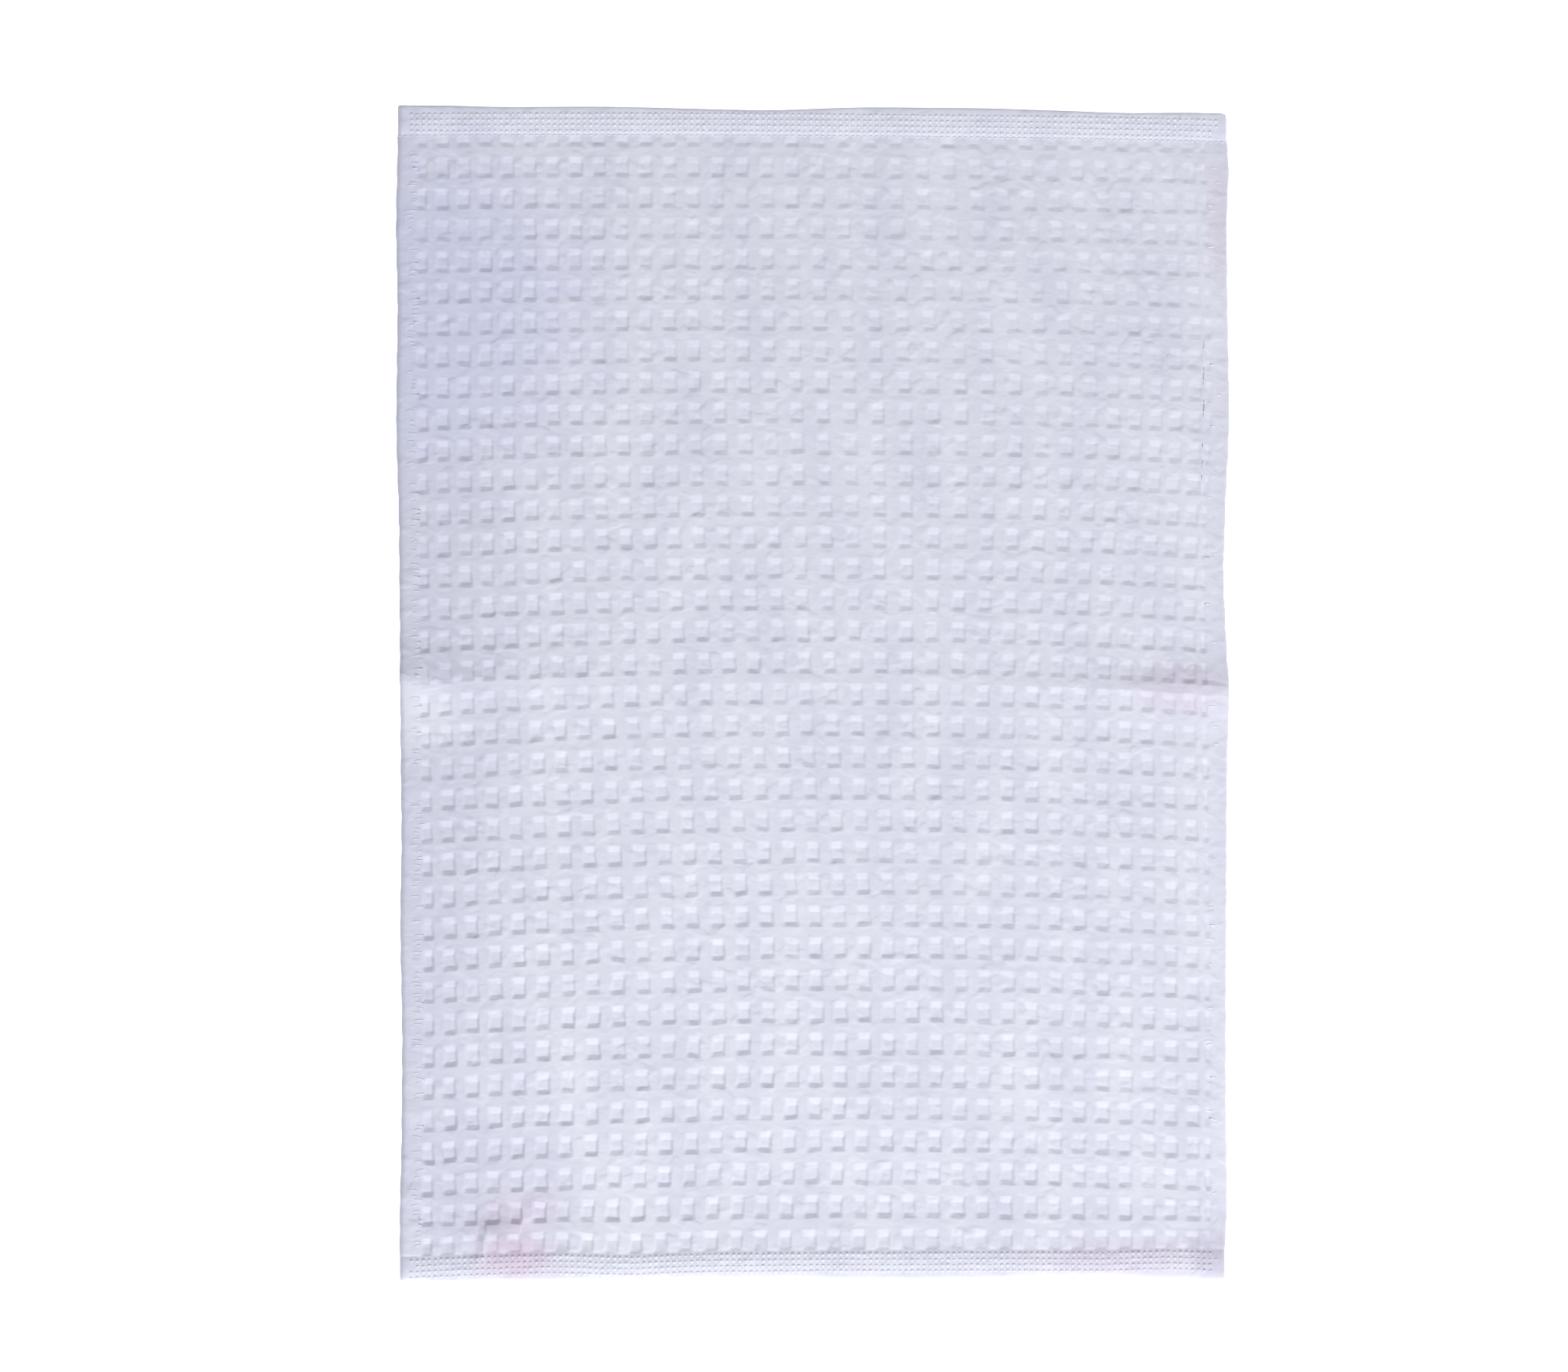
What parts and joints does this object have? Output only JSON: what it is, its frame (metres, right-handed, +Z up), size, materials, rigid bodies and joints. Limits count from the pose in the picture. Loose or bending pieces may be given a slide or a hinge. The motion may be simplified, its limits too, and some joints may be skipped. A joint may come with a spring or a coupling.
{
  "type": "dish towel",
  "caption": "Flat rectangular cotton dish towel in waffle weave, with plain selvedges, hemmed ends and the crease of a crosswise fold.",
  "frame": {"origin": "under the middle of the towel, on the surface that it lies on", "axes": "+X across the towel, +Y along it towards its top hem, +Z up out of its face"},
  "size_m": [0.5042, 0.7118, 0.0059],
  "materials": {
    "cotton": "matt woven cotton, cool white"
  },
  "bodies": {
    "root": {"towel": "cotton"}
  },
  "joints": []
}
